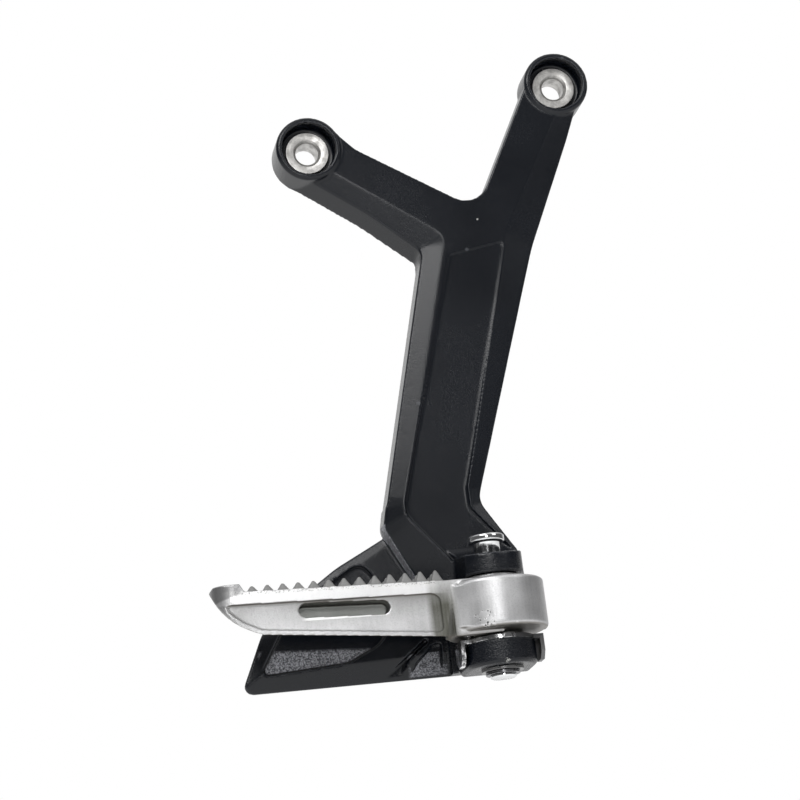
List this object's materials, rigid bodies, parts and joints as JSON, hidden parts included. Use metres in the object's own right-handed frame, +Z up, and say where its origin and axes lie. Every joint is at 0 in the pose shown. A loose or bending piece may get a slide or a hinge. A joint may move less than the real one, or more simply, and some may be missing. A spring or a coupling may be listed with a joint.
{
  "type": "motorcycle footrest bracket",
  "caption": "Y-shaped cast bracket with two bolt bosses, a heel guard and a fork that carries a folding toothed footpeg on an upright pivot pin.",
  "frame": {"origin": "centre of the right bolt bore on the rear mounting plane", "axes": "+X to the right along the two bosses as seen from outside, -Y out of the motorcycle towards the viewer, +Z up along the pivot pin"},
  "size_m": [0.1755, 0.0454, 0.2516],
  "materials": {
    "black_casting": "satin black paint on cast aluminium",
    "peg_casting": "bare casting, lightly blasted",
    "collar_steel": "zinc plated, dulled",
    "plated_steel": "bright plated",
    "spring_steel": "plain spring steel"
  },
  "bodies": {
    "bracket": {"bracket": "black_casting", "collar_right": "collar_steel", "collar_left": "collar_steel", "pivot_pin": "plated_steel", "pin_washer": "collar_steel", "pin_clip": "spring_steel", "click_plate": "plated_steel"},
    "peg": {"footpeg": "peg_casting", "detent_spring": "spring_steel"},
    "ball": {"detent_ball": "plated_steel"}
  },
  "joints": [
    {"name": "peg_fold", "type": "hinge", "parent": "bracket", "child": "peg", "pos_m": [-0.0555, -0.026, -0.2127], "axis": [0, 0, 1], "range_deg": [0, 90]},
    {"name": "detent_ball_travel", "type": "slide", "parent": "peg", "child": "ball", "axis": [0, 0, 1], "range_m": [-0.0009, 0], "stiffness_N_per_m": 2000, "springref_m": -0.003, "deforming": ["detent_spring"]}
  ]
}
